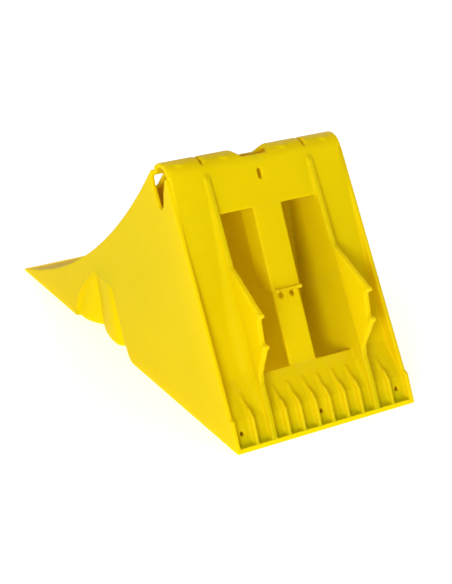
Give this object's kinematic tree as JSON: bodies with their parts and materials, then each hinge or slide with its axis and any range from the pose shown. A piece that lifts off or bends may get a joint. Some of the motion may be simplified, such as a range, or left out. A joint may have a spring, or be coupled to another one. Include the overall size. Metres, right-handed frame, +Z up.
{
  "type": "wheel chock",
  "caption": "Hollow moulded plastic wheel chock with a concave tread, round crest, ribbed heel and a windowed back with guide fins.",
  "frame": {"origin": "middle of the footprint, on the ground", "axes": "+Z up; +Y forward from the heel to the tip of the tread, where the tyre comes from; +X to the right seen from behind the heel"},
  "size_m": [0.202, 0.47, 0.2312],
  "materials": {
    "yellow_plastic": "semi-gloss moulded polyethylene, bright yellow"
  },
  "bodies": {
    "root": {"centre_bar_face": "yellow_plastic", "centre_bar_left_flange": "yellow_plastic", "centre_bar_lower": "yellow_plastic", "centre_bar_right_flange": "yellow_plastic", "centre_cross_web": "yellow_plastic", "front_rib_centre": "yellow_plastic", "front_rib_left": "yellow_plastic", "front_rib_right": "yellow_plastic", "heel_lip": "yellow_plastic", "heel_rib_1": "yellow_plastic", "heel_rib_2": "yellow_plastic", "heel_rib_3": "yellow_plastic", "heel_rib_4": "yellow_plastic", "heel_rib_5": "yellow_plastic", "heel_rib_6": "yellow_plastic", "heel_rib_7": "yellow_plastic", "heel_rib_8": "yellow_plastic", "latch_lip": "yellow_plastic", "left_back_strip": "yellow_plastic", "left_crest": "yellow_plastic", "left_guide_fin": "yellow_plastic", "left_guide_wall": "yellow_plastic", "left_side_recess": "yellow_plastic", "left_side_wall": "yellow_plastic", "lower_back_panel": "yellow_plastic", "middle_rib_centre": "yellow_plastic", "middle_rib_left": "yellow_plastic", "middle_rib_right": "yellow_plastic", "right_back_strip": "yellow_plastic", "right_crest": "yellow_plastic", "right_guide_fin": "yellow_plastic", "right_guide_wall": "yellow_plastic", "right_side_recess": "yellow_plastic", "right_side_wall": "yellow_plastic", "tread_panel": "yellow_plastic", "upper_crossbar": "yellow_plastic"}
  },
  "joints": []
}
